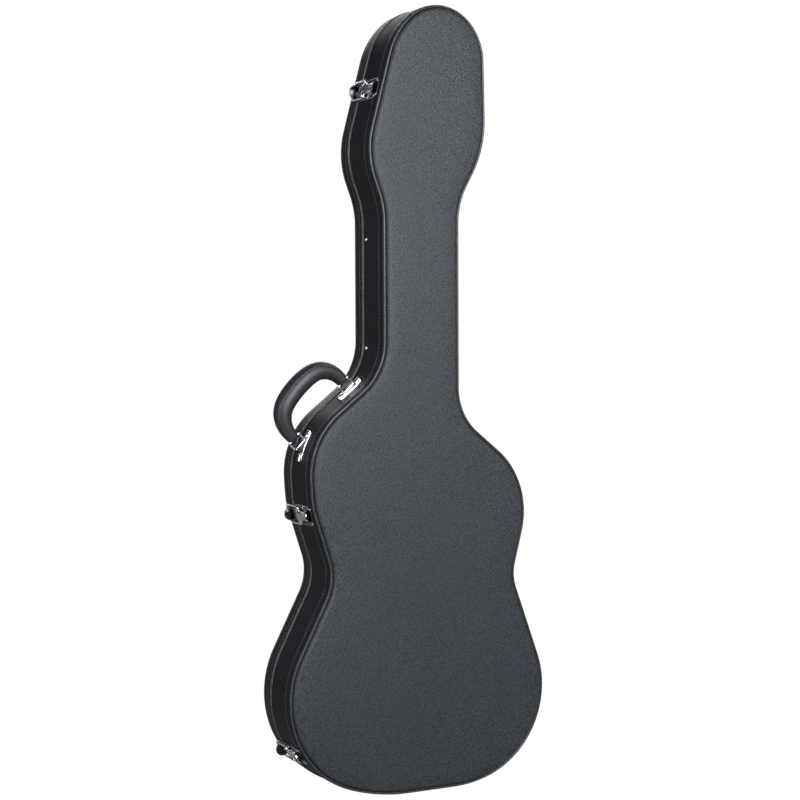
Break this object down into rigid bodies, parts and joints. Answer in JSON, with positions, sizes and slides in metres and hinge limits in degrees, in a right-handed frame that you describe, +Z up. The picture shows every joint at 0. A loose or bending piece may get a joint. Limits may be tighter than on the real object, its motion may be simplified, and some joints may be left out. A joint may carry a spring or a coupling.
{
  "type": "guitar case",
  "caption": "Shaped hard-shell case for an electric guitar, with a hinged lid, draw latches, a folding handle and a lined interior with an accessory box.",
  "frame": {"origin": "on the flat bottom end face, under the neck's centre line and midway through the case's depth", "axes": "+Z up along the case's length towards the headstock end, +X towards the hinge side, +Y from the base shell's back panel towards the lid"},
  "size_m": [0.3958, 0.097, 1.0518],
  "materials": {
    "shell_vinyl": "matt black vinyl over plywood",
    "panel_vinyl": "pebble-grained vinyl with a soft sheen, over plywood",
    "piping": "smooth extruded piping",
    "valance": "matt black strip",
    "plush": "short-pile plush over foam",
    "tab": "grained pull tab",
    "handle_cover": "smooth padded vinyl cover with a soft sheen",
    "chrome": "bright nickel or chrome plate"
  },
  "bodies": {
    "base": {"base_rim_left_lower": "shell_vinyl", "base_rim_left_upper": "shell_vinyl", "base_rim_left_neck": "shell_vinyl", "base_rim_right_lower": "shell_vinyl", "base_rim_right_upper": "shell_vinyl", "base_rim_right_neck": "shell_vinyl", "base_panel": "panel_vinyl", "base_welt": "piping", "base_valance": "valance", "base_floor_lining": "plush", "base_wall_lining": "plush", "waist_pad_left": "plush", "waist_pad_right": "plush", "shoulder_pad_left": "plush", "shoulder_pad_right": "plush", "box_lower_wall": "plush", "box_upper_wall": "plush", "neck_cradle": "plush", "handle_bracket_upper": "chrome", "handle_bracket_lower": "chrome", "wall_stud_upper": "chrome", "wall_stud_lower": "chrome", "hinge_lower_base_leaf": "chrome", "hinge_lower_pin": "chrome", "hinge_upper_base_leaf": "chrome", "hinge_upper_pin": "chrome", "latch_top_plate": "chrome", "latch_top_pin": "chrome", "latch_middle_plate": "chrome", "latch_middle_pin": "chrome", "latch_bottom_plate": "chrome", "latch_bottom_pin": "chrome"},
    "lid": {"lid_rim_left_lower": "shell_vinyl", "lid_rim_left_upper": "shell_vinyl", "lid_rim_left_neck": "shell_vinyl", "lid_rim_right_lower": "shell_vinyl", "lid_rim_right_upper": "shell_vinyl", "lid_rim_right_neck": "shell_vinyl", "lid_panel": "panel_vinyl", "lid_welt": "piping", "lid_floor_lining": "plush", "lid_wall_lining": "plush", "hinge_lower_lid_leaf": "chrome", "hinge_upper_lid_leaf": "chrome", "latch_top_catch": "chrome", "latch_middle_catch": "chrome", "latch_bottom_catch": "chrome"},
    "handle": {"handle_grip": "handle_cover", "handle_ring_upper": "chrome", "handle_ring_lower": "chrome"},
    "box_lid": {"box_lid": "plush", "box_lid_tab": "tab"},
    "latch_top_lever": {"latch_top_lever": "chrome"},
    "latch_top_hasp": {"latch_top_hasp": "chrome"},
    "latch_middle_lever": {"latch_middle_lever": "chrome"},
    "latch_middle_hasp": {"latch_middle_hasp": "chrome"},
    "latch_bottom_lever": {"latch_bottom_lever": "chrome"},
    "latch_bottom_hasp": {"latch_bottom_hasp": "chrome"}
  },
  "joints": [
    {"name": "lid_hinge", "type": "hinge", "parent": "base", "child": "lid", "pos_m": [0.19226, 0.0175, 0.14281], "axis": [0.1112, 0, -0.9938], "range_deg": [0, 105]},
    {"name": "handle_swing", "type": "hinge", "parent": "base", "child": "handle", "pos_m": [-0.1268, -0.01, 0.50765], "axis": [0.6967, 0, 0.7174], "range_deg": [-65, 65]},
    {"name": "box_lid_hinge", "type": "hinge", "parent": "base", "child": "box_lid", "pos_m": [0.0422, -0.009, 0.633], "axis": [0, 0, -1], "range_deg": [0, 90]},
    {"name": "latch_top_lever", "type": "hinge", "parent": "base", "child": "latch_top_lever", "pos_m": [-0.06284, 0.001, 0.94002], "axis": [-0.258, 0, -0.9661], "range_deg": [0, 120]},
    {"name": "latch_top_hasp", "type": "hinge", "parent": "latch_top_lever", "child": "latch_top_hasp", "pos_m": [-0.06284, -0.005, 0.94002], "axis": [-0.258, 0, -0.9661], "range_deg": [-150, 0]},
    {"name": "latch_middle_lever", "type": "hinge", "parent": "base", "child": "latch_middle_lever", "pos_m": [-0.16123, 0.001, 0.37739], "axis": [0.2938, 0, -0.9559], "range_deg": [0, 120]},
    {"name": "latch_middle_hasp", "type": "hinge", "parent": "latch_middle_lever", "child": "latch_middle_hasp", "pos_m": [-0.16123, -0.005, 0.37739], "axis": [0.2938, 0, -0.9559], "range_deg": [-150, 0]},
    {"name": "latch_bottom_lever", "type": "hinge", "parent": "base", "child": "latch_bottom_lever", "pos_m": [-0.17565, 0.001, 0.06259], "axis": [0.5576, 0, -0.8301], "range_deg": [0, 120]},
    {"name": "latch_bottom_hasp", "type": "hinge", "parent": "latch_bottom_lever", "child": "latch_bottom_hasp", "pos_m": [-0.17565, -0.005, 0.06259], "axis": [0.5576, 0, -0.8301], "range_deg": [-150, 0]}
  ],
  "couplings": [
    {"joint": "box_lid_hinge", "follows": "lid_hinge", "ratio": 0.85},
    {"joint": "latch_top_hasp", "follows": "latch_top_lever", "ratio": -1.25},
    {"joint": "latch_middle_hasp", "follows": "latch_middle_lever", "ratio": -1.25},
    {"joint": "latch_bottom_hasp", "follows": "latch_bottom_lever", "ratio": -1.25}
  ]
}
